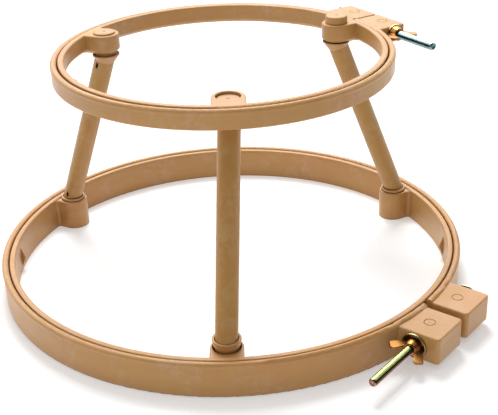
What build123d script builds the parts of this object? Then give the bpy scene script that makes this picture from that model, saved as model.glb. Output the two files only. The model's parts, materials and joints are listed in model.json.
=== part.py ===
from build123d import *
from math import cos, hypot, radians, sin
import os

# Table-top embroidery stand: two clamping hoops joined by three leaning tubular legs.
# The frame has its origin on the floor at the lower hoop's axis, +Z up and the front leg on -Y.
# All sizes are in millimetres and all angles in degrees.

os.makedirs("parts", exist_ok=True)

# Hoops: each is a plain inner ring inside a split outer ring with a bead along its top
ring_wall = 4.7
ring_gap = 0.6                      # room for the fabric between the two rings
bead_proud = 0.4                    # how far the bead stands out from the outer wall
bead_height = 5.0
bead_round = 2.2
edge_round = 1.2
cut_margin = 1.0                    # how far a cutting shape runs past the part it cuts

lower_radius = 183.0                # outside of the lower outer ring
lower_height = 27.0
lower_inner_height = 25.0
upper_radius = 128.0                # outside of the upper outer ring
upper_base = 169.7                  # underside of the upper hoop
upper_height = 14.2
upper_inner_height = 14.6

# Leg seats: three bosses on each inner ring
leg_azimuths = {"front": -90.0, "right": 30.0, "left": 150.0}
hoop_twist = 3.3                    # the upper hoop sits turned by this much on its legs
boss_radius = 11.7
lower_boss_reach = {"front": 158.5, "right": 163.5, "left": 163.5}     # hoop's axis to boss's
upper_boss_reach = {"front": 103.0, "right": 106.5, "left": 106.5}
lower_bore_radius = 8.9
upper_bore_radius = 8.8
lower_web_round = 2.5
upper_web_round = 0.8
seat_depth = 5.0                    # conical mouth of each lower boss
seat_widening = 1.4
upper_boss_chamfer = 2.6

# Small ribs inside the lower inner ring, between the bosses
rib_azimuths = (0.0, 90.0, 180.0)
rib_reach = 3.4
rib_thickness = 2.5
rib_bottom = 3.0
rib_middle = 11.0
rib_top = 20.0
bump_azimuth = 210.0                # a small stop inside the upper inner ring
bump_radius = 1.6

# Legs and their end fittings
tube_radius = 7.95
tube_bore = 6.75
spigot_radius = 6.7
spigot_length = 24.0
spigot_waist = 4.6                  # the spigot narrows behind the tube's window
window_height = 5.2
window_width = 2.5
foot_window_offset = 4.3            # from the fitting's rim to the window's middle
top_window_offset = 9.2
window_azimuths = {"front": 95.0, "right": 75.0, "left": 232.0}
fit_clearance = 0.05

foot_plug_radius = 8.85
foot_plug_bottom = 1.5
foot_rim_radius = 10.2
foot_rim_height = 1.7
foot_band_radius = 9.5              # a slightly narrower band below the rim
foot_band_bottom = 5.0              # both measured down from the rim's top
foot_rim_round = 0.6
foot_mouth_radius = 8.5
foot_socket_depth = 4.4             # along the leg, from the rim's middle to the tube's end
foot_rise = {"front": 6.8, "right": 2.4, "left": 2.4}       # rim above the boss

top_plug_radius = 8.7
top_neck_radius = 7.7
top_rim_radius = 10.8
top_rim_height = 0.8
top_mouth_radius = 10.0
top_mouth_depth = 1.0
top_flare_height = 5.2              # along the leg, from the rim's middle to the tube's end
top_standout = {"front": -1.8, "right": 6.0, "left": 1.5}   # plug above the boss
top_drop = {"front": 4.0, "right": 0.15, "left": 2.2}       # collar below the hoop
gate_mark_radius = 1.0
gate_mark_depth = 0.3

# Clamps: two lugs on each outer ring, drawn together by a bolt with a wing nut
lug_width = 34.0
lug_corner_round = 3.0
lug_edge_round = 1.4
lug_root_depth = 6.0                # how far a lug's block starts inside the ring's wall
lug_mark_radius = 4.2
lug_mark_width = 0.5
lug_mark_depth = 0.35
lug_mark_offset = 2.0               # the mark's middle, further out than the bolt's axis

lower_gap_azimuth = -38.0
lower_gap = 6.5
lower_lug_reach = 211.5
lower_lug_bottom = 4.5
lower_lug_top = 25.2
lower_bolt_reach = 192.5
lower_bolt_level = 14.6
lower_bolt_length = 129.0

upper_gap_azimuth = 33.3
upper_gap = 1.2
upper_lug_reach = 148.6
upper_lug_bottom = 173.6
upper_lug_top = 183.5
upper_bolt_reach = 137.0
upper_bolt_level = 178.0
upper_bolt_length = 115.0

bolt_radius = 3.175
bolt_chamfer = 0.8
bolt_hole_radius = 3.4
lower_head_radius = 11.2
upper_head_radius = 5.6
bolt_head_height = 2.8
bolt_head_round = 1.8
bolt_neck_side = 6.4
bolt_neck_length = 3.2
neck_clearance = 0.15
lower_washer_radius = 9.5
upper_washer_radius = 6.8
washer_bore = 3.25
washer_thickness = 1.6
nut_bore = 3.225
nut_base_radius = 6.0
nut_top_radius = 4.9
nut_hub_height = 5.2
nut_top_round = 0.6
wing_thickness = 1.9
wing_corner = 2.0
wing_root = (3.6, 0.8)              # wing outline: distance from the bolt's axis, height
wing_shoulder = (8.2, 0.8)
wing_tip = (14.2, 9.4)
wing_crown = (9.0, 15.4)
wing_neck = (4.2, 4.8)
contact_clearance = 0.05
lower_wing_turn = 164.0
upper_wing_turn = 178.0


def polar_point(reach, azimuth, level):
    """A point given by its distance from the hoops' axis, its azimuth and its height."""
    angle = radians(azimuth)
    return Vector(reach * cos(angle), reach * sin(angle), level)


def clamp_plane(azimuth, reach, level):
    """A plane in the gap's middle: +Z along the bolt to its free end, +X away from the hoop."""
    outward = polar_point(1, azimuth, 0)
    along = polar_point(1, azimuth - 90, 0)
    return Plane(origin=polar_point(reach, azimuth, level), x_dir=outward, z_dir=along)


def boss_places(boss_reach, twist):
    """The middles of the three bosses, each turned so that +X points away from the hoop's axis."""
    places = []
    for side, azimuth in leg_azimuths.items():
        centre = polar_point(boss_reach[side], azimuth + twist, 0)
        places.append(Location((centre.X, centre.Y, 0), (0, 0, azimuth + twist)))
    return places


def inner_ring(outside, base, height, boss_reach, twist, web_round):
    """A round ring with three bosses joined to its inner wall by full-width webs."""
    inside = outside - ring_wall
    on_circle = 0.1
    with BuildPart() as ring:
        with BuildSketch(Plane.XY.offset(base)) as outline:
            Circle(outside)
            Circle(inside, mode=Mode.SUBTRACT)
            for place, reach in zip(boss_places(boss_reach, twist), boss_reach.values()):
                with Locations(place):
                    Circle(boss_radius)
                    web_length = inside + ring_wall / 2 - reach
                    Rectangle(web_length, 2 * boss_radius, align=(Align.MIN, Align.CENTER))
            corners = outline.vertices().filter_by(
                lambda v: abs(hypot(v.X, v.Y) - inside) < on_circle and v.Y != 0
            )
            fillet(corners, web_round)
        extrude(amount=height)
        fillet(ring.edges().group_by(Axis.Z)[-1], edge_round)
    return ring


def outer_ring(outside, base, height, azimuth, gap, lug_reach, lug_bottom, lug_top, bolt_reach, bolt_level):
    """A split ring with a bead along its top and a drilled lug on each side of the split."""
    inside = outside - ring_wall
    lug_root = inside - lug_root_depth
    lug_middle = (lug_root + lug_reach) / 2
    lug_offset = (gap + lug_width) / 2
    mark_reach = bolt_reach + lug_mark_offset
    outward = polar_point(1, azimuth, 0)
    lug_floor = Plane(origin=(0, 0, lug_bottom), x_dir=outward, z_dir=(0, 0, 1))
    lug_roof = Plane(origin=(0, 0, lug_top), x_dir=outward, z_dir=(0, 0, 1))
    below_ring = Plane(origin=(0, 0, base - cut_margin), x_dir=outward, z_dir=(0, 0, 1))
    bolt_axis = clamp_plane(azimuth, bolt_reach, bolt_level)
    with BuildPart() as ring:
        with BuildSketch(lug_floor):
            with Locations((lug_middle, lug_offset), (lug_middle, -lug_offset)):
                Rectangle(lug_reach - lug_root, lug_width)
        extrude(amount=lug_top - lug_bottom)
        fillet(ring.edges().filter_by(Axis.Z), lug_corner_round)
        fillet(ring.edges().group_by(Axis.Z)[0] + ring.edges().group_by(Axis.Z)[-1], lug_edge_round)
        with BuildSketch(Plane.XZ):
            with Locations((outside - ring_wall / 2, base + (height - bead_round) / 2)):
                RectangleRounded(ring_wall, height - bead_round, edge_round)
            with Locations((outside - (ring_wall - bead_proud) / 2, base + height - bead_height / 2)):
                RectangleRounded(ring_wall + bead_proud, bead_height, bead_round)
        revolve(axis=Axis.Z)
        with BuildSketch(Plane.XY.offset(base - cut_margin)):
            Circle(inside)
        extrude(amount=height + 2 * cut_margin, mode=Mode.SUBTRACT)
        with BuildSketch(below_ring):
            with Locations((outside, 0)):
                Rectangle(4 * ring_wall, gap)
        extrude(amount=height + 2 * cut_margin, mode=Mode.SUBTRACT)
        with BuildSketch(bolt_axis.offset(-lug_width - gap)):
            Circle(bolt_hole_radius)
        extrude(amount=2 * (lug_width + gap), mode=Mode.SUBTRACT)
        with BuildSketch(bolt_axis.offset(-lug_width - gap / 2)):
            Rectangle(bolt_neck_side + 2 * neck_clearance, bolt_neck_side + 2 * neck_clearance)
        extrude(amount=bolt_neck_length + neck_clearance, mode=Mode.SUBTRACT)
        with BuildSketch(lug_roof):
            with Locations((mark_reach, lug_offset), (mark_reach, -lug_offset)):
                Circle(lug_mark_radius)
                Circle(lug_mark_radius - lug_mark_width, mode=Mode.SUBTRACT)
        extrude(amount=-lug_mark_depth, mode=Mode.SUBTRACT)
    return ring


def leg_tube(leg_axis, start, length, window_levels, window_azimuth):
    """A round tube with a small window through its wall near each end."""
    facing = polar_point(1, window_azimuth, 0)
    outward = (facing - leg_axis.z_dir * facing.dot(leg_axis.z_dir)).normalized()
    with BuildPart() as tube:
        with BuildSketch(leg_axis.offset(start)):
            Circle(tube_radius)
            Circle(tube_bore, mode=Mode.SUBTRACT)
        extrude(amount=length)
        for level in window_levels:
            centre = leg_axis.origin + leg_axis.z_dir * level
            with BuildSketch(Plane(origin=centre, x_dir=leg_axis.z_dir, z_dir=outward)):
                SlotOverall(window_height, window_width)
            extrude(amount=2 * tube_radius, mode=Mode.SUBTRACT)
    return tube


def spigot(base_plane, window_level):
    """The rod that holds the tube from inside, with a waist behind the tube's window."""
    with BuildPart() as rod:
        with BuildSketch(base_plane):
            Circle(spigot_radius)
        extrude(amount=spigot_length)
        with BuildSketch(base_plane.offset(window_level - window_height / 2 - cut_margin)):
            Circle(spigot_radius + cut_margin)
            Circle(spigot_waist, mode=Mode.SUBTRACT)
        extrude(amount=window_height + 2 * cut_margin, mode=Mode.SUBTRACT)
    return rod


def foot_socket(centre, leg_axis):
    """The plug in a lower boss, with a level rim and band round the leg and a spigot inside it."""
    band_bottom = centre.Z - foot_band_bottom
    tube_end = leg_axis.offset(-foot_socket_depth)
    rod = spigot(tube_end, foot_window_offset + foot_socket_depth)
    with BuildPart() as socket:
        with BuildSketch(Plane(origin=(centre.X, centre.Y, foot_plug_bottom), z_dir=(0, 0, 1))):
            Circle(foot_plug_radius)
        extrude(amount=band_bottom - foot_plug_bottom)
        with BuildSketch(Plane(origin=(centre.X, centre.Y, band_bottom), z_dir=(0, 0, 1))):
            Circle(foot_band_radius)
        extrude(amount=foot_band_bottom - foot_rim_height / 2)
        with BuildSketch(Plane(origin=(centre.X, centre.Y, centre.Z - foot_rim_height), z_dir=(0, 0, 1))):
            Circle(foot_rim_radius)
        extrude(amount=foot_rim_height)
        fillet(socket.edges().group_by(Axis.Z)[-1], foot_rim_round)
        with BuildSketch(tube_end):
            Circle(foot_mouth_radius)
        extrude(amount=3 * foot_socket_depth, mode=Mode.SUBTRACT)
        add(rod.part)
    return socket


def top_plug(centre, leg_axis, reach, plug_top):
    """The plug in an upper boss, with a level cupped collar under the boss and a spigot in the leg."""
    tube_end = leg_axis.offset(reach - top_flare_height)
    rod_base = Plane(origin=tube_end.origin, z_dir=-leg_axis.z_dir)
    rod = spigot(rod_base, top_window_offset - top_flare_height)
    rim = Plane(origin=(centre.X, centre.Y, centre.Z - top_rim_height), z_dir=(0, 0, 1))
    mouth_floor = Plane(origin=(centre.X, centre.Y, centre.Z - top_mouth_depth), z_dir=(0, 0, 1))
    plug_base = Plane(origin=(centre.X, centre.Y, upper_base + edge_round), z_dir=(0, 0, 1))
    with BuildPart() as plug:
        with BuildSketch(rim):
            Circle(top_rim_radius)
        with BuildSketch(tube_end):
            Circle(tube_radius)
        loft()
        with BuildSketch(rim):
            Circle(top_rim_radius)
        extrude(amount=top_rim_height)
        with BuildSketch(mouth_floor):
            Circle(top_mouth_radius)
        extrude(amount=top_mouth_depth, mode=Mode.SUBTRACT)
        with BuildSketch(mouth_floor.offset(-cut_margin / 2)):
            Circle(top_neck_radius)
        extrude(amount=plug_base.origin.Z - mouth_floor.origin.Z + cut_margin)
        with BuildSketch(plug_base):
            Circle(top_plug_radius)
        extrude(amount=plug_top - plug_base.origin.Z)
        fillet(plug.edges().group_by(Axis.Z)[-1], edge_round)
        with BuildSketch(Plane(origin=(centre.X, centre.Y, plug_top), z_dir=(0, 0, 1))):
            Circle(gate_mark_radius)
        extrude(amount=-gate_mark_depth, mode=Mode.SUBTRACT)
        add(rod.part)
    return plug


def clamp_bolt(axis, gap, length, head_radius):
    """A round-headed bolt with a square neck; its free end points along the plane's +Z."""
    head_plane = axis.offset(-lug_width - gap / 2)
    bolt_line = Axis(head_plane.origin, head_plane.z_dir)
    with BuildPart() as bolt:
        with BuildSketch(head_plane):
            Circle(bolt_radius)
        extrude(amount=length)
        chamfer(bolt.edges().sort_by(bolt_line)[-1], bolt_chamfer)
        with BuildSketch(head_plane):
            Rectangle(bolt_neck_side, bolt_neck_side)
        extrude(amount=bolt_neck_length)
        with BuildSketch(head_plane):
            Circle(head_radius)
        extrude(amount=-bolt_head_height)
        fillet(bolt.edges().sort_by(bolt_line)[0], bolt_head_round)
    return bolt


def flat_washer(axis, gap, washer_radius):
    """A wide flat washer against the outer face of the lug on the bolt's free side."""
    with BuildPart() as washer:
        with BuildSketch(axis.offset(gap / 2 + lug_width + contact_clearance)):
            Circle(washer_radius)
            Circle(washer_bore, mode=Mode.SUBTRACT)
        extrude(amount=washer_thickness)
    return washer


def wing_nut(axis, gap, turn):
    """A wing nut on the bolt, its two wings swept towards the bolt's free end."""
    base = axis.offset(gap / 2 + lug_width + washer_thickness + 2 * contact_clearance)
    nut_line = Axis(base.origin, base.z_dir)
    with BuildPart() as nut:
        with BuildSketch(base):
            Circle(nut_base_radius)
        with BuildSketch(base.offset(nut_hub_height)):
            Circle(nut_top_radius)
        loft()
        fillet(nut.edges().sort_by(nut_line)[-1], nut_top_round)
        for side in (turn, turn + 180):
            across = base.x_dir * cos(radians(side)) + base.y_dir * sin(radians(side))
            wing_plane = Plane(origin=base.origin, x_dir=across, z_dir=across.cross(base.z_dir))
            with BuildSketch(wing_plane) as wing:
                with BuildLine():
                    Polyline(wing_root, wing_shoulder, wing_tip, wing_crown, wing_neck, close=True)
                make_face()
                fillet(wing.vertices().group_by(Axis.Y)[-1], wing_corner)
            extrude(amount=wing_thickness / 2, both=True)
        with BuildSketch(base):
            Circle(nut_bore)
        extrude(amount=wing_crown[1], mode=Mode.SUBTRACT)
    return nut


# Inner rings
lower_inside = lower_radius - ring_wall - ring_gap
upper_inside = upper_radius - ring_wall - ring_gap

lower_ring = inner_ring(lower_inside, 0, lower_inner_height, lower_boss_reach, 0, lower_web_round)
with BuildPart() as lower_inner_ring:
    add(lower_ring.part)
    with BuildSketch(Plane.XY.offset(-cut_margin)):
        with Locations(*boss_places(lower_boss_reach, 0)):
            Circle(lower_bore_radius)
    extrude(amount=lower_inner_height + 2 * cut_margin, mode=Mode.SUBTRACT)
    with Locations((0, 0, lower_inner_height)):
        with Locations(*boss_places(lower_boss_reach, 0)):
            Cone(
                bottom_radius=lower_bore_radius,
                top_radius=lower_bore_radius + seat_widening,
                height=seat_depth,
                align=(Align.CENTER, Align.CENTER, Align.MAX),
                mode=Mode.SUBTRACT,
            )
    wall_face = lower_inside - ring_wall
    for rib_azimuth in rib_azimuths:
        rib_plane = Plane(
            origin=(0, 0, 0),
            x_dir=polar_point(1, rib_azimuth, 0),
            z_dir=polar_point(1, rib_azimuth - 90, 0),
        )
        with BuildSketch(rib_plane):
            with BuildLine():
                Polyline(
                    (wall_face + cut_margin, rib_bottom),
                    (wall_face, rib_bottom),
                    (wall_face - rib_reach, rib_middle),
                    (wall_face, rib_top),
                    (wall_face + cut_margin, rib_top),
                    close=True,
                )
            make_face()
        extrude(amount=rib_thickness / 2, both=True)
lower_inner_ring.part.label = "lower_inner_ring"
export_step(lower_inner_ring.part, "parts/lower_inner_ring.step")

upper_ring = inner_ring(
    upper_inside, upper_base, upper_inner_height, upper_boss_reach, hoop_twist, upper_web_round
)
same_radius = 0.01
with BuildPart() as upper_inner_ring:
    add(upper_ring.part)
    boss_arcs = upper_inner_ring.edges().filter_by(
        lambda e: e.geom_type == GeomType.CIRCLE and abs(e.radius - boss_radius) < same_radius
    )
    chamfer(boss_arcs.group_by(Axis.Z)[0], upper_boss_chamfer)
    with BuildSketch(Plane.XY.offset(upper_base - cut_margin)):
        with Locations(*boss_places(upper_boss_reach, hoop_twist)):
            Circle(upper_bore_radius)
    extrude(amount=upper_inner_height + 2 * cut_margin, mode=Mode.SUBTRACT)
    with BuildSketch(Plane.XY.offset(upper_base + edge_round)):
        with Locations(polar_point(upper_inside - ring_wall, bump_azimuth, 0)):
            Circle(bump_radius)
    extrude(amount=upper_inner_height - 2 * edge_round)
upper_inner_ring.part.label = "upper_inner_ring"
export_step(upper_inner_ring.part, "parts/upper_inner_ring.step")

# Outer rings, each with its clamp
lower_outer_ring = outer_ring(
    lower_radius, 0, lower_height, lower_gap_azimuth, lower_gap,
    lower_lug_reach, lower_lug_bottom, lower_lug_top, lower_bolt_reach, lower_bolt_level,
)
lower_outer_ring.part.label = "lower_outer_ring"
export_step(lower_outer_ring.part, "parts/lower_outer_ring.step")

upper_outer_ring = outer_ring(
    upper_radius, upper_base, upper_height, upper_gap_azimuth, upper_gap,
    upper_lug_reach, upper_lug_bottom, upper_lug_top, upper_bolt_reach, upper_bolt_level,
)
upper_outer_ring.part.label = "upper_outer_ring"
export_step(upper_outer_ring.part, "parts/upper_outer_ring.step")

clamps = {
    "lower": {
        "axis": clamp_plane(lower_gap_azimuth, lower_bolt_reach, lower_bolt_level),
        "gap": lower_gap,
        "length": lower_bolt_length,
        "head": lower_head_radius,
        "washer": lower_washer_radius,
        "turn": lower_wing_turn,
    },
    "upper": {
        "axis": clamp_plane(upper_gap_azimuth, upper_bolt_reach, upper_bolt_level),
        "gap": upper_gap,
        "length": upper_bolt_length,
        "head": upper_head_radius,
        "washer": upper_washer_radius,
        "turn": upper_wing_turn,
    },
}
for level, clamp in clamps.items():
    bolt = clamp_bolt(clamp["axis"], clamp["gap"], clamp["length"], clamp["head"])
    bolt.part.label = f"{level}_clamp_bolt"
    export_step(bolt.part, f"parts/{level}_clamp_bolt.step")
    washer = flat_washer(clamp["axis"], clamp["gap"], clamp["washer"])
    washer.part.label = f"{level}_washer"
    export_step(washer.part, f"parts/{level}_washer.step")
    nut = wing_nut(clamp["axis"], clamp["gap"], clamp["turn"])
    nut.part.label = f"{level}_wing_nut"
    export_step(nut.part, f"parts/{level}_wing_nut.step")

# Legs with their end fittings
for side, azimuth in leg_azimuths.items():
    foot = polar_point(lower_boss_reach[side], azimuth, lower_inner_height + foot_rise[side])
    head = polar_point(upper_boss_reach[side], azimuth + hoop_twist, upper_base - top_drop[side])
    leg_axis = Plane(origin=foot, z_dir=head - foot)
    reach = (head - foot).length
    plug_top = upper_base + upper_inner_height + top_standout[side]

    socket = foot_socket(foot, leg_axis)
    socket.part.label = f"{side}_foot_socket"
    export_step(socket.part, f"parts/{side}_foot_socket.step")

    plug = top_plug(head, leg_axis, reach, plug_top)
    plug.part.label = f"{side}_top_plug"
    export_step(plug.part, f"parts/{side}_top_plug.step")

    tube_start = fit_clearance - foot_socket_depth
    tube_length = reach - top_flare_height - fit_clearance - tube_start
    window_levels = (foot_window_offset, reach - top_window_offset)
    tube = leg_tube(leg_axis, tube_start, tube_length, window_levels, window_azimuths[side])
    tube.part.label = f"{side}_leg"
    export_step(tube.part, f"parts/{side}_leg.step")
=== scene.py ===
"""Looks of the embroidery stand: two tan plastic hoops on three leaning legs, with zinc-plated clamp bolts.

Everything is in metres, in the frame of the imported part: the origin is on the floor on the hoops' axis,
+Z is up and the front leg stands on -Y.
"""
import json

import bmesh
import bpy
from math import cos, floor, pi, radians, sin
from mathutils import Matrix, Vector


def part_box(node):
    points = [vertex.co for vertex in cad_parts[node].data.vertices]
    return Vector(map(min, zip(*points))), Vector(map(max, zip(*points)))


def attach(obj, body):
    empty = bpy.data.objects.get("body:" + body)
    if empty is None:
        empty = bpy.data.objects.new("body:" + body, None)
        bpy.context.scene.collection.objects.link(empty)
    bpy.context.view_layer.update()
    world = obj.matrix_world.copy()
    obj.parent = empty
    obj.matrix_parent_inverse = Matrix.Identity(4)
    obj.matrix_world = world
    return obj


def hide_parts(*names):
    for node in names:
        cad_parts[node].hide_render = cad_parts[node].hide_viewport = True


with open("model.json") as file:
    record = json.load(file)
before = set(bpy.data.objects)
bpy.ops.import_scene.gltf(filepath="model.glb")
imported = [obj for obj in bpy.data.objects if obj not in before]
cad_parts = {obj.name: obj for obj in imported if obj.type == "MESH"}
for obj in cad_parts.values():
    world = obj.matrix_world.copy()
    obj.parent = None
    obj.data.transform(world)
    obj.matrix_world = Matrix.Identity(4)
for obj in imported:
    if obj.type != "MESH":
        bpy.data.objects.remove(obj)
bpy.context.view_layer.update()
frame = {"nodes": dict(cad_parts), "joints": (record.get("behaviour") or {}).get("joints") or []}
nodes = frame["nodes"]
joints = {joint["name"]: joint for joint in frame["joints"]}
MM = 0.001


# ---------------------------------------------------------------- node graphs

class Graph:
    """A material's or world's node tree, with short ways to add and connect nodes."""

    def __init__(self, owner):
        owner.use_nodes = True
        self.tree = owner.node_tree
        self.tree.nodes.clear()

    def node(self, kind, inputs=None, **settings):
        made = self.tree.nodes.new(kind)
        for key, value in settings.items():
            setattr(made, key, value)
        for key, value in (inputs or {}).items():
            self.feed(made.inputs[key], value)
        return made

    def feed(self, socket, value):
        if isinstance(value, bpy.types.NodeSocket):
            self.tree.links.new(value, socket)
        else:
            socket.default_value = value

    def maths(self, operation, a, b=0.0, c=0.0, clamp=False):
        made = self.node("ShaderNodeMath", {0: a, 1: b, 2: c}, operation=operation, use_clamp=clamp)
        return made.outputs[0]

    def noise(self, place, scale, detail=2.0, roughness=0.5):
        made = self.node(
            "ShaderNodeTexNoise",
            {"Vector": place, "Scale": scale, "Detail": detail, "Roughness": roughness},
        )
        return made.outputs["Fac"]

    def spread(self, value, low, high, to_low=0.0, to_high=1.0):
        made = self.node(
            "ShaderNodeMapRange",
            {"Value": value, "From Min": low, "From Max": high, "To Min": to_low, "To Max": to_high},
        )
        return made.outputs[0]

    def mix(self, share, a, b, blend="MIX"):
        made = self.node("ShaderNodeMix", data_type="RGBA", blend_type=blend)
        for index, value in ((0, share), (6, a), (7, b)):
            self.feed(made.inputs[index], value)
        return made.outputs[2]

    def grey(self, value):
        return self.node("ShaderNodeCombineColor", {0: value, 1: value, 2: value}).outputs[0]

    def bump(self, height, strength, distance, normal):
        made = self.node(
            "ShaderNodeBump",
            {"Height": height, "Strength": strength, "Distance": distance, "Normal": normal},
        )
        return made.outputs[0]

    def ramp(self, value, stops):
        made = self.node("ShaderNodeValToRGB", {"Fac": value})
        ramp = made.color_ramp
        while len(ramp.elements) < len(stops):
            ramp.elements.new(1.0)
        for element, (place, colour) in zip(ramp.elements, stops):
            element.position = place
            element.color = colour
        return made.outputs["Color"]

    def scaled(self, place, factors):
        made = self.node("ShaderNodeVectorMath", {0: place, 1: factors}, operation="MULTIPLY")
        return made.outputs[0]


def rgba(red, green, blue):
    return (red, green, blue, 1.0)


# ------------------------------------------------------------------ materials

def hoop_coordinates(graph, place):
    """Way round the hoop (much shortened), reach and height, for marks that run along the moulding."""
    x, y, z = graph.node("ShaderNodeSeparateXYZ", {0: place}).outputs
    angle = graph.maths("ARCTAN2", y, x)
    flat = graph.node("ShaderNodeCombineXYZ", {0: x, 1: y, 2: 0.0}).outputs[0]
    radius = graph.node("ShaderNodeVectorMath", {0: flat}, operation="LENGTH").outputs["Value"]
    along = graph.maths("MULTIPLY", angle, 0.03)
    return graph.node("ShaderNodeCombineXYZ", {0: along, 1: radius, 2: z}).outputs[0]


def leg_coordinates(graph, place):
    """The same place squeezed in height, for marks that run up the legs."""
    return graph.scaled(place, (1.0, 1.0, 0.12))


def plastic(name, tint, stretch):
    """Satin moulded plastic: mottled tan, with a painted highlight on edges, painted shade in crevices, and
    scuffs.
    """
    material = bpy.data.materials.new(name)
    graph = Graph(material)
    place = graph.node("ShaderNodeTexCoord").outputs["Object"]
    flow_place = stretch(graph, place)
    broad = graph.noise(place, 13.0, 2.0)
    patches = graph.noise(place, 75.0, 4.0, 0.6)
    speckle = graph.noise(place, 1400.0, 2.0, 0.6)
    flow = graph.noise(flow_place, 45.0, 4.0, 0.65)

    tan = rgba(*tint)
    pink = rgba(tint[0] * 1.02, tint[1] * 0.92, tint[2] * 0.95)
    yellow = rgba(tint[0] * 1.03, tint[1] * 1.04, tint[2] * 0.95)
    colour = graph.mix(graph.spread(broad, 0.38, 0.64), tan, pink)
    colour = graph.mix(graph.spread(patches, 0.45, 0.72), colour, yellow)
    shade = graph.spread(flow, 0.3, 0.7, 0.93, 1.06)
    shade = graph.maths("MULTIPLY", shade, graph.spread(speckle, 0.3, 0.7, 0.97, 1.03))
    colour = graph.mix(1.0, colour, graph.grey(shade), "MULTIPLY")

    clouds = graph.spread(graph.noise(place, 24.0, 3.0, 0.55), 0.47, 0.60)
    rubbing = graph.spread(graph.noise(place, 170.0, 4.0, 0.7), 0.42, 0.62)
    scuff = graph.maths("MULTIPLY", clouds, rubbing, clamp=True)
    dusty = rgba(tint[0] * 1.15, tint[1] * 1.45, tint[2] * 3.0)
    colour = graph.mix(graph.maths("MULTIPLY", scuff, 0.5), colour, dusty)

    # Painted shade: a dark brown mixed in where ambient occlusion finds crevices and gaps between parts.
    crevice = graph.node("ShaderNodeAmbientOcclusion", {"Distance": 3.5 * MM}, samples=6).outputs["AO"]
    painted_crevice_shade = rgba(tint[0] * 0.22, tint[1] * 0.13, tint[2] * 0.10)
    colour = graph.mix(graph.spread(crevice, 0.66, 0.16, 0.0, 0.95), colour, painted_crevice_shade)

    geometry = graph.node("ShaderNodeNewGeometry")
    soft = graph.node("ShaderNodeBevel", {"Radius": 0.6 * MM}, samples=4)
    turn = graph.node(
        "ShaderNodeVectorMath",
        {0: geometry.outputs["Normal"], 1: soft.outputs[0]},
        operation="DOT_PRODUCT",
    )
    # Painted highlight: paler colour on rounded edges, stronger in patches.
    edge = graph.spread(turn.outputs["Value"], 0.995, 0.90)
    painted_edge_highlight = graph.maths("MULTIPLY", edge, graph.spread(patches, 0.35, 0.65, 0.25, 1.0))
    pale = rgba(tint[0] * 1.22, tint[1] * 1.30, tint[2] * 1.55)
    colour = graph.mix(graph.maths("MULTIPLY", painted_edge_highlight, 0.6), colour, pale)

    scratches = graph.noise(graph.scaled(flow_place, (1.0, 6.0, 6.0)), 160.0, 3.0, 0.7)
    rough = graph.spread(patches, 0.3, 0.7, 0.36, 0.50)
    rough = graph.maths("SUBTRACT", rough, graph.spread(scratches, 0.62, 0.75, 0.0, 0.07))
    rough = graph.maths("MULTIPLY_ADD", scuff, 0.12, rough)

    normal = graph.bump(graph.noise(place, 55.0, 2.0), 0.5, 0.35 * MM, soft.outputs[0])
    normal = graph.bump(flow, 0.35, 0.12 * MM, normal)
    normal = graph.bump(graph.noise(place, 2600.0, 3.0, 0.6), 0.3, 0.03 * MM, normal)
    shader = graph.node(
        "ShaderNodeBsdfPrincipled",
        {
            "Base Color": colour,
            "Roughness": rough,
            "IOR": 1.49,
            "Subsurface Weight": 0.08,
            "Subsurface Radius": (1.0, 0.5, 0.2),
            "Subsurface Scale": 1.2 * MM,
            "Normal": normal,
        },
    )
    graph.node("ShaderNodeOutputMaterial", {"Surface": shader.outputs[0]})
    return material


def zinc(name, stops, highlight_edge_colour, brightness, rough_low, rough_high, grain_depth):
    """Passivated zinc plating: painted reflections ramp its colour from the upper to the lower side,
    drifting in patches, with a painted highlight on edges and painted shade in crevices.
    """
    material = bpy.data.materials.new(name)
    graph = Graph(material)
    place = graph.node("ShaderNodeTexCoord").outputs["Object"]
    film = graph.noise(place, 160.0, 3.0, 0.6)
    spots = graph.noise(place, 1100.0, 2.0, 0.6)
    soft = graph.node("ShaderNodeBevel", {"Radius": 0.2 * MM}, samples=4).outputs[0]
    # Painted reflection: the colour follows how far the surface faces up, bright above, dark bands and
    # tinted below.
    lift = graph.node("ShaderNodeSeparateXYZ", {0: soft}).outputs[2]
    drift = graph.spread(film, 0.25, 0.75, -0.04, 0.04)
    colour = graph.ramp(graph.maths("ADD", graph.spread(lift, 1.0, -1.0), drift, clamp=True), stops)
    spots_and_crevice_shade = graph.spread(spots, 0.35, 0.7, 0.85 * brightness, 1.05 * brightness)
    # Painted shade: darker where ambient occlusion finds crevices, on top of random dull spots.
    crevice = graph.node("ShaderNodeAmbientOcclusion", {"Distance": 1.5 * MM}, samples=6).outputs["AO"]
    spots_and_crevice_shade = graph.maths("MULTIPLY", spots_and_crevice_shade, graph.spread(crevice, 0.1, 0.7, 0.35, 1.0))
    colour = graph.mix(1.0, colour, graph.grey(spots_and_crevice_shade), "MULTIPLY")
    # Painted highlight: paler colour on rounded edges and sharp ridges.
    true_normal = graph.node("ShaderNodeNewGeometry").outputs["Normal"]
    turn = graph.node("ShaderNodeVectorMath", {0: true_normal, 1: soft}, operation="DOT_PRODUCT")
    edge = graph.spread(turn.outputs["Value"], 0.99, 0.86, 0.0, 0.75)
    ridge = graph.node("ShaderNodeNewGeometry").outputs["Pointiness"]
    edge = graph.maths("MAXIMUM", edge, graph.spread(ridge, 0.53, 0.62, 0.0, 0.85))
    colour = graph.mix(edge, colour, rgba(*highlight_edge_colour))
    shader = graph.node(
        "ShaderNodeBsdfPrincipled",
        {
            "Base Color": colour,
            "Metallic": 1.0,
            "Roughness": graph.spread(spots, 0.3, 0.7, rough_low, rough_high),
            "Normal": graph.bump(spots, 0.4, grain_depth, soft),
        },
    )
    graph.node("ShaderNodeOutputMaterial", {"Surface": shader.outputs[0]})
    return material


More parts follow.
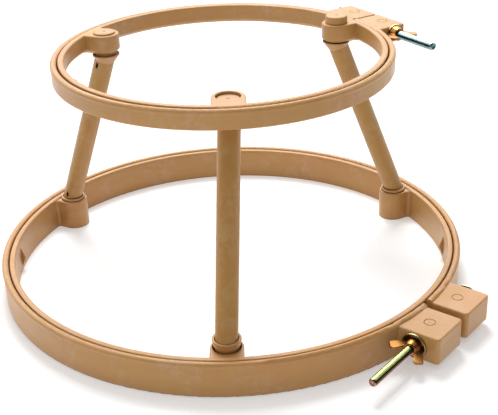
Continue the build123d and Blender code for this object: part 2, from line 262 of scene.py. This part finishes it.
hoop_tint = (0.50, 0.262, 0.080)
leg_tint = (0.44, 0.228, 0.052)
fitting_tint = (0.50, 0.265, 0.084)
looks = {
    "lower_hoop_plastic": plastic("lower_hoop_plastic", hoop_tint, hoop_coordinates),
    "upper_hoop_plastic": plastic("upper_hoop_plastic", hoop_tint, hoop_coordinates),
    "leg_plastic": plastic("leg_plastic", leg_tint, leg_coordinates),
    "fitting_plastic": plastic("fitting_plastic", fitting_tint, leg_coordinates),
    # Each zinc look's stops run from upward- to downward-facing sides as painted reflections: bright above,
    # dark bands, a tinted floor reflection below. The colour after them is the painted edge highlight.
    "yellow_zinc_bolt": zinc(
        "yellow_zinc_bolt",
        (
            (0.0, rgba(0.92, 0.92, 0.50)),
            (0.06, rgba(0.74, 0.80, 0.24)),
            (0.13, rgba(0.24, 0.42, 0.08)),
            (0.20, rgba(0.03, 0.05, 0.02)),
            (0.40, rgba(0.03, 0.02, 0.015)),
            (0.49, rgba(0.34, 0.13, 0.10)),
            (0.62, rgba(0.66, 0.34, 0.26)),
            (1.0, rgba(0.60, 0.40, 0.20)),
        ),
        (0.95, 0.85, 0.62), 0.62,
        0.14, 0.22, 0.02 * MM,
    ),
    "blue_zinc_bolt": zinc(
        "blue_zinc_bolt",
        (
            (0.0, rgba(0.90, 1.00, 1.00)),
            (0.16, rgba(0.70, 0.86, 0.87)),
            (0.26, rgba(0.24, 0.42, 0.44)),
            (0.36, rgba(0.02, 0.06, 0.07)),
            (0.50, rgba(0.03, 0.10, 0.11)),
            (0.62, rgba(0.25, 0.42, 0.44)),
            (1.0, rgba(0.20, 0.34, 0.36)),
        ),
        (0.92, 0.97, 0.97), 0.7,
        0.13, 0.20, 0.015 * MM,
    ),
    "yellow_zinc_washer": zinc(
        "yellow_zinc_washer",
        (
            (0.0, rgba(0.86, 0.72, 0.34)),
            (0.30, rgba(0.44, 0.30, 0.11)),
            (0.55, rgba(0.16, 0.09, 0.03)),
            (1.0, rgba(0.50, 0.32, 0.12)),
        ),
        (0.90, 0.74, 0.38), 0.7,
        0.20, 0.32, 0.02 * MM,
    ),
    "yellow_zinc_nut": zinc(
        "yellow_zinc_nut",
        (
            (0.0, rgba(0.70, 0.33, 0.09)),
            (0.30, rgba(0.55, 0.20, 0.05)),
            (0.60, rgba(0.46, 0.17, 0.05)),
            (1.0, rgba(0.50, 0.26, 0.08)),
        ),
        (1.0, 0.88, 0.60), 0.6,
        0.24, 0.38, 0.05 * MM,
    ),
}


def finish_of(node):
    """The record's material slot of a node, from the node's name."""
    if node.endswith("ring"):
        return node.split("_")[0] + "_hoop_plastic"
    if node.endswith("leg"):
        return "leg_plastic"
    if node.endswith("washer"):
        return "yellow_zinc_washer"
    if node.endswith("nut"):
        return "yellow_zinc_nut"
    if node.endswith("bolt"):
        return "yellow_zinc_bolt" if node.startswith("lower") else "blue_zinc_bolt"
    return "fitting_plastic"


# ---------------------------------------------------------------- pieces carried over from the CAD

for name, shown in nodes.items():
    shown.data.materials.clear()
    shown.data.materials.append(looks[finish_of(name)])


# ---------------------------------------------------------------- clamp fittings in finer mesh

THREAD_PITCH = 1.27 * MM
THREAD_DEPTH = 0.24 * MM
GROOVE_HALF_WIDTH = 0.22        # share of the pitch; the rest is flat crest
ROWS_PER_PITCH = 8
ROUND_STEPS = 48                # corners in one turn of a bolt or washer
DOME_STEPS = 8
PLAIN_NECK = 5.0 * MM           # from the head to the first thread
TAPER = 1.2 * MM                # the last stretch, without thread
HEAD_SHARE = 0.99               # vertices this near the widest belong to the head's rim
TIP_REACH = 2.0 * MM            # how far from the end the shank is measured
LEAST_SHANK = 2.9 * MM          # anything thinner there is the end's chamfer
DOME_SHARE = 0.8                # of the head's height; the rest is its upright edge
END_ROUNDING = ((0.9, 0.15), (0.35, 0.45), (0.0, 0.85), (0.02, 1.2))  # mm back, mm in from the shank
END_DISH = ((0.25, 0.6), (0.25, 0.05))  # mm back from the end, radius in mm
CAST_VOXEL = 0.22 * MM
CAST_SOFTENING = 0.5
CAST_SOFTENING_STEPS = 5

WALL = 4.65 * MM                # the rim's thickness, a hair less than the ring's wall
HIDDEN_GAP = 0.02 * MM
LIP_RISE = 1.2 * MM
LIP_BURIED = 1.0 * MM
LIP_ROUND = 1.3 * MM
LIP_ROUND_STEPS = 6
RIM_SEGMENTS = 360


class Axis:
    """A bolt's axis, with ways to measure a CAD node along it and to build round it."""

    def __init__(self, level):
        joint = joints[f"{level}_wing_nut_turn"]
        self.origin = Vector(joint["pos_m"])
        self.along = Vector(joint["axis"]).normalized()
        self.up = Vector((0.0, 0.0, 1.0))
        self.side = self.up.cross(self.along)

    def measure(self, node):
        """Each vertex of a node as (distance along the axis, distance from it)."""
        shown = nodes[node]
        measured = []
        for vertex in shown.data.vertices:
            offset = shown.matrix_world @ vertex.co - self.origin
            along = offset.dot(self.along)
            measured.append((along, (offset - along * self.along).length))
        return measured

    def point(self, along, radius, angle):
        return self.origin + along * self.along + radius * (cos(angle) * self.side + sin(angle) * self.up)


def add_piece(name, mesh, body, finish, replaced=None):
    """A smooth-shaded piece of one finish that rides a body, in place of a CAD node if one is named."""
    for polygon in mesh.polygons:
        polygon.use_smooth = True
    mesh.materials.append(looks[finish])
    piece = bpy.data.objects.new(name, mesh)
    bpy.context.scene.collection.objects.link(piece)
    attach(piece, body)
    if replaced:
        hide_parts(replaced)
    return piece


def skinned(name, rings, closed_tube=False):
    """A mesh through rings of points: a tube closed on itself, or a solid capped at both ends."""
    shell = bmesh.new()
    loops = [[shell.verts.new(point) for point in ring] for ring in rings]
    pairs = list(zip(loops, loops[1:]))
    if closed_tube:
        pairs.append((loops[-1], loops[0]))
    for lower, upper in pairs:
        for step in range(len(lower)):
            after = (step + 1) % len(lower)
            shell.faces.new((lower[step], lower[after], upper[after], upper[step]))
    if not closed_tube:
        shell.faces.new(reversed(loops[0]))
        shell.faces.new(loops[-1])
    bmesh.ops.recalc_face_normals(shell, faces=shell.faces)
    mesh = bpy.data.meshes.new(name)
    shell.to_mesh(mesh)
    shell.free()
    return mesh


def revolved(name, axis, rows, closed_tube=False):
    """A mesh round the axis; a row gives (distance along, radius) or a function in the radius's place."""
    rings = []
    for along, radius in rows:
        ring = []
        for step in range(ROUND_STEPS):
            angle = 2 * pi * step / ROUND_STEPS
            reach = radius(along, angle) if callable(radius) else radius
            ring.append(axis.point(along, reach, angle))
        rings.append(ring)
    return skinned(name, rings, closed_tube)


def rolled_thread(core, along, angle):
    """The radius of a rolled thread with wide flat crests."""
    turn = along / THREAD_PITCH - angle / (2 * pi)
    phase = turn - floor(turn)
    groove = max(0.0, 1.0 - abs(phase - 0.5) / GROOVE_HALF_WIDTH)
    return core - THREAD_DEPTH * (1.0 - (1.0 - groove) ** 2)


def build_bolt(level, body):
    """A carriage bolt: a low domed head, a plain neck, a rolled thread and a slightly dished end."""
    node = f"{level}_clamp_bolt"
    axis = Axis(level)
    measured = axis.measure(node)
    head_top = min(along for along, _ in measured)
    end = max(along for along, _ in measured)
    head_radius = max(radius for _, radius in measured)
    head_base = max(along for along, radius in measured if radius > HEAD_SHARE * head_radius)
    tip = [radius for along, radius in measured if along > end - TIP_REACH]
    shank = min(radius for radius in tip if radius > LEAST_SHANK)
    neck_end = head_base + PLAIN_NECK
    dome_height = DOME_SHARE * (head_base - head_top)
    row_gap = THREAD_PITCH / ROWS_PER_PITCH

    def threaded(along, angle):
        return rolled_thread(shank, along, angle)

    rows = []
    for step in range(DOME_STEPS + 1):
        angle = step / DOME_STEPS * pi / 2
        rows.append((head_top + dome_height * (1 - cos(angle)), max(0.02, sin(angle)) * head_radius))
    rows.append((head_base - 0.1 * MM, head_radius))
    rows.append((head_base, head_radius - 0.3 * MM))
    rows.append((head_base, shank))
    rows.append((neck_end, shank))
    for step in range(1, int((end - TAPER - neck_end) / row_gap)):
        rows.append((neck_end + step * row_gap, threaded))
    for back, inset in END_ROUNDING:
        rows.append((end - back * MM, shank - inset * MM))
    for back, radius in END_DISH:
        rows.append((end - back * MM, radius * MM))
    name = f"{level}_bolt_threaded"
    add_piece(name, revolved(name, axis, rows), body, finish_of(node), node)


def build_washer(level, body):
    """A stamped washer: one edge rolled over, the other nearly sharp."""
    node = f"{level}_washer"
    axis = Axis(level)
    measured = axis.measure(node)
    near = min(along for along, _ in measured)
    far = max(along for along, _ in measured)
    outer = max(radius for _, radius in measured)
    bore = min(radius for _, radius in measured)
    rows = (
        (near, bore + 0.2 * MM),
        (near, outer - 0.15 * MM),
        (near + 0.15 * MM, outer),
        (far - 0.55 * MM, outer),
        (far - 0.22 * MM, outer - 0.12 * MM),
        (far - 0.05 * MM, outer - 0.4 * MM),
        (far, outer - 0.8 * MM),
        (far, bore + 0.3 * MM),
        (far - 0.3 * MM, bore),
        (near + 0.2 * MM, bore),
    )
    name = f"{level}_washer_stamped"
    add_piece(name, revolved(name, axis, rows, closed_tube=True), body, finish_of(node), node)


def build_wing_nut(level, body):
    """The CAD nut's shape softened all over, as a die casting comes out of its mould."""
    node = f"{level}_wing_nut"
    name = f"{level}_wing_nut_cast"
    mesh = nodes[node].data.copy()
    mesh.name = name
    mesh.materials.clear()
    piece = add_piece(name, mesh, body, finish_of(node), node)
    remesh = piece.modifiers.new("cast", "REMESH")
    remesh.mode = "VOXEL"
    remesh.voxel_size = CAST_VOXEL
    remesh.use_smooth_shade = True
    smooth = piece.modifiers.new("soften", "SMOOTH")
    smooth.factor = CAST_SOFTENING
    smooth.iterations = CAST_SOFTENING_STEPS


def build_lip():
    """The lower inner ring's rounded rim, which stands a little above its bosses."""
    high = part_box("lower_inner_ring")[1]
    outside = high[0] - HIDDEN_GAP
    inside = high[0] - WALL
    base = high[2] - LIP_BURIED
    arc_level = high[2] + LIP_RISE - LIP_ROUND
    profile = [(inside, base), (outside, base)]
    for centre, start in ((outside - LIP_ROUND, 0.0), (inside + LIP_ROUND, pi / 2)):
        for step in range(LIP_ROUND_STEPS + 1):
            angle = start + step / LIP_ROUND_STEPS * pi / 2
            profile.append((centre + LIP_ROUND * cos(angle), arc_level + LIP_ROUND * sin(angle)))
    turns = [2 * pi * segment / RIM_SEGMENTS for segment in range(RIM_SEGMENTS)]
    rings = []
    for radius, height in profile:
        rings.append([(radius * cos(turn), radius * sin(turn), height) for turn in turns])
    name = "lower_inner_rim"
    add_piece(name, skinned(name, rings, closed_tube=True), "stand", "lower_hoop_plastic")


build_lip()
for clamp in ("lower", "upper"):
    build_bolt(clamp, f"{clamp}_clamp_ring")
    build_washer(clamp, f"{clamp}_washer")
    build_wing_nut(clamp, f"{clamp}_wing_nut")


# ----------------------------------------------------------- floor, light, camera

FLOOR_HALF = 6.0
PAPER_GREYS = (0.76, 0.79)      # darkest and lightest fibres
GLOW_TO_CAMERA = 0.32
GLOW_TO_MIRRORS = 0.8

FILL_STRENGTH = 0.64
LEFTWARD = -0.2                 # leans the fill and the bright wall to the left
MIRROR_STRENGTHS = (0.15, 6.0)  # in front of the stand and behind it

KEY_PLACE = (-0.15, 1.0, 2.0)
KEY_TARGET = (0.0, 0.0, 0.05)
KEY_WIDTH = 0.9
KEY_WATTS = 36.0

CAMERA_PLACE = (0.02846, -0.74835, 0.42226)
CAMERA_PITCH = radians(26.398)
CAMERA_ROLL = radians(-1.986)
CAMERA_SWING = radians(1.0)
CAMERA_LENS = 75.10
CAMERA_SENSOR = 36.0
CAMERA_NEAR, CAMERA_FAR = 0.01, 50.0


def add_floor():
    """A pale sheet that bounces light like paper and looks white where it is lit."""
    material = bpy.data.materials.new("floor_paper")
    graph = Graph(material)
    place = graph.node("ShaderNodeTexCoord").outputs["Object"]
    fibres = graph.noise(place, 900.0, 3.0, 0.6)
    white = graph.grey(graph.spread(fibres, 0.3, 0.7, *PAPER_GREYS))
    paper = graph.node("ShaderNodeBsdfDiffuse", {"Color": white})
    path = graph.node("ShaderNodeLightPath")
    mirrored = graph.maths("MULTIPLY", path.outputs["Is Glossy Ray"], GLOW_TO_MIRRORS)
    glow = graph.maths("MULTIPLY_ADD", path.outputs["Is Camera Ray"], GLOW_TO_CAMERA, mirrored)
    lift = graph.node("ShaderNodeEmission", {"Color": rgba(1.0, 1.0, 1.0), "Strength": glow})
    shader = graph.node("ShaderNodeAddShader", {0: paper.outputs[0], 1: lift.outputs[0]})
    graph.node("ShaderNodeOutputMaterial", {"Surface": shader.outputs[0]})
    mesh = bpy.data.meshes.new("floor")
    signs = ((-1, -1), (1, -1), (1, 1), (-1, 1))
    corners = [(x * FLOOR_HALF, y * FLOOR_HALF, 0) for x, y in signs]
    mesh.from_pydata(corners, [], [(0, 1, 2, 3)])
    mesh.materials.append(material)
    floor_sheet = bpy.data.objects.new("floor", mesh)
    bpy.context.scene.collection.objects.link(floor_sheet)


def add_world():
    """Soft fill that comes more from the left, and a bright wall behind the stand to mirror in it."""
    world = bpy.data.worlds.new("studio")
    bpy.context.scene.world = world
    graph = Graph(world)
    path = graph.node("ShaderNodeLightPath")
    direction = graph.node("ShaderNodeTexCoord").outputs["Generated"]
    x, y, z = graph.node("ShaderNodeSeparateXYZ", {0: direction}).outputs
    fill_strength = graph.maths("MULTIPLY_ADD", x, LEFTWARD, FILL_STRENGTH)
    behind = graph.maths("MULTIPLY_ADD", x, LEFTWARD, y)
    mirror_strength = graph.spread(behind, -0.25, 0.75, *MIRROR_STRENGTHS)
    near_horizon = graph.spread(z, 0.30, 0.48, 0.2, 1.0)
    overhead = graph.spread(z, 0.5, 0.9, 1.0, 0.3)
    by_height = graph.maths("MULTIPLY", near_horizon, overhead)
    mirror_strength = graph.maths("MULTIPLY", mirror_strength, by_height)
    white = rgba(1.0, 1.0, 1.0)
    fill = graph.node("ShaderNodeBackground", {"Color": white, "Strength": fill_strength})
    mirror = graph.node("ShaderNodeBackground", {"Color": white, "Strength": mirror_strength})
    seen = graph.node("ShaderNodeBackground", {"Color": white, "Strength": 1.0})
    lit = graph.node(
        "ShaderNodeMixShader",
        {0: path.outputs["Is Glossy Ray"], 1: fill.outputs[0], 2: mirror.outputs[0]},
    )
    both = graph.node(
        "ShaderNodeMixShader",
        {0: path.outputs["Is Camera Ray"], 1: lit.outputs[0], 2: seen.outputs[0]},
    )
    graph.node("ShaderNodeOutputWorld", {"Surface": both.outputs[0]})


def add_key_light():
    """A broad disk high behind the stand, which throws the soft shadow forward."""
    light = bpy.data.lights.new("key", "AREA")
    light.shape = "DISK"
    light.size = KEY_WIDTH
    light.energy = KEY_WATTS
    lamp = bpy.data.objects.new("key", light)
    lamp.location = KEY_PLACE
    lamp.rotation_mode = "QUATERNION"
    lamp.rotation_quaternion = (Vector(KEY_TARGET) - Vector(KEY_PLACE)).to_track_quat("-Z", "Y")
    bpy.context.scene.collection.objects.link(lamp)


def add_camera():
    """The camera of the picture: looking down along +Y, a little rolled and swung."""
    right, up = Vector((1, 0, 0)), Vector((0, sin(CAMERA_PITCH), cos(CAMERA_PITCH)))
    forward = Vector((0, cos(CAMERA_PITCH), -sin(CAMERA_PITCH)))
    across = right * cos(CAMERA_ROLL) + up * sin(CAMERA_ROLL)
    upward = up * cos(CAMERA_ROLL) - right * sin(CAMERA_ROLL)
    turn = Matrix((across, upward, -forward)).transposed().to_4x4()
    camera = bpy.data.cameras.new("camera")
    camera.lens = CAMERA_LENS
    camera.sensor_width = CAMERA_SENSOR
    camera.clip_start, camera.clip_end = CAMERA_NEAR, CAMERA_FAR
    eye = bpy.data.objects.new("camera", camera)
    eye.matrix_world = Matrix.Translation(CAMERA_PLACE) @ Matrix.Rotation(CAMERA_SWING, 4, "Z") @ turn
    bpy.context.scene.collection.objects.link(eye)
    bpy.context.scene.camera = eye


add_floor()
add_world()
add_key_light()
add_camera()
bpy.context.scene.view_settings.view_transform = "Standard"
